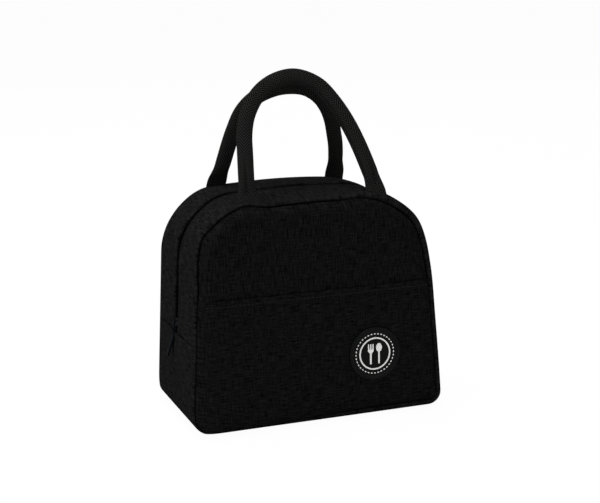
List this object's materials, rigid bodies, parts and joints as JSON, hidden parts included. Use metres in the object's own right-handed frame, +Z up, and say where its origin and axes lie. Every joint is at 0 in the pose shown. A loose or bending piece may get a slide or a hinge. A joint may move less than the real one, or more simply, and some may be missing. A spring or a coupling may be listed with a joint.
{
  "type": "insulated lunch bag",
  "caption": "Black insulated fabric lunch bag with a domed front, slip pocket, zipped mouth, round rubber badge and webbing carry handles that lean together.",
  "frame": {"origin": "middle of the flat base, on the floor", "axes": "+X to the wearer's right seen from the front, +Y from the front panel to the back panel, +Z up"},
  "size_m": [0.2249, 0.1312, 0.2904],
  "materials": {
    "outer_cloth": "black slubbed oxford cloth, matte",
    "insulating_foam": "closed-cell foam, matte",
    "foil_lining": "silver foil film, soft gloss",
    "binding_tape": "woven binding tape, matte",
    "zip_tape": "woven polyester tape, matte",
    "zip_coil": "nylon coil, satin",
    "zip_metal": "dark lacquered die-cast metal, satin",
    "badge_rubber": "moulded soft rubber, satin",
    "badge_print": "white print",
    "handle_webbing": "black herringbone webbing, matte",
    "handle_core": "twisted filler cord"
  },
  "bodies": {
    "base": {"base_gusset": "outer_cloth", "base_gusset_foam": "insulating_foam", "base_gusset_lining": "foil_lining", "front_panel_lower": "outer_cloth", "front_foam_lower": "insulating_foam", "front_lining_lower": "foil_lining", "front_pocket_lower": "outer_cloth", "back_panel_lower": "outer_cloth", "back_foam_lower": "insulating_foam", "back_lining_lower": "foil_lining", "front_seam_binding_lower": "binding_tape", "back_seam_binding_lower": "binding_tape", "badge": "badge_rubber", "badge_print": "badge_print", "zip_tail_tapes": "zip_tape", "zip_tail_coils": "zip_coil"},
    "front_half": {"front_panel_upper": "outer_cloth", "front_foam_upper": "insulating_foam", "front_lining_upper": "foil_lining", "front_pocket_upper": "outer_cloth", "front_zip_strip": "outer_cloth", "front_zip_strip_foam": "insulating_foam", "front_zip_strip_lining": "foil_lining", "front_zip_tape": "zip_tape", "front_zip_coil": "zip_coil", "front_seam_binding_upper": "binding_tape", "front_handle_tab_left": "handle_webbing", "front_handle_tab_right": "handle_webbing"},
    "rear_half": {"back_panel_upper": "outer_cloth", "back_foam_upper": "insulating_foam", "back_lining_upper": "foil_lining", "rear_zip_strip": "outer_cloth", "rear_zip_strip_foam": "insulating_foam", "rear_zip_strip_lining": "foil_lining", "rear_zip_tape": "zip_tape", "rear_zip_coil": "zip_coil", "back_seam_binding_upper": "binding_tape", "rear_handle_tab_left": "handle_webbing", "rear_handle_tab_right": "handle_webbing"},
    "front_handle": {"front_handle_webbing": "handle_webbing", "front_handle_core": "handle_core"},
    "rear_handle": {"rear_handle_webbing": "handle_webbing", "rear_handle_core": "handle_core"},
    "zip_slider": {"zip_slider": "zip_metal"},
    "zip_pull": {"zip_pull": "zip_metal"}
  },
  "joints": [
    {"name": "front_half_fold", "type": "hinge", "parent": "base", "child": "front_half", "pos_m": [0, -0.065, 0.081], "axis": [1, 0, 0], "range_deg": [0, 30]},
    {"name": "rear_half_fold", "type": "hinge", "parent": "base", "child": "rear_half", "pos_m": [0, 0.0642, 0.081], "axis": [-1, 0, 0], "range_deg": [0, 30]},
    {"name": "front_handle_swing", "type": "hinge", "parent": "front_half", "child": "front_handle", "pos_m": [0, -0.04816, 0.1962], "axis": [1, 0, 0], "range_deg": [0, 142]},
    {"name": "rear_handle_swing", "type": "hinge", "parent": "rear_half", "child": "rear_handle", "pos_m": [0, 0.04816, 0.1962], "axis": [-1, 0, 0], "range_deg": [0, 142]},
    {"name": "zip_slide", "type": "slide", "parent": "base", "child": "zip_slider", "axis": [0.0558, 0, 0.9984], "range_m": [0, 0.045]},
    {"name": "zip_pull_swing", "type": "hinge", "parent": "zip_slider", "child": "zip_pull", "pos_m": [-0.10704, 0, 0.07991], "axis": [0, 1, 0], "range_deg": [0, 160]}
  ]
}
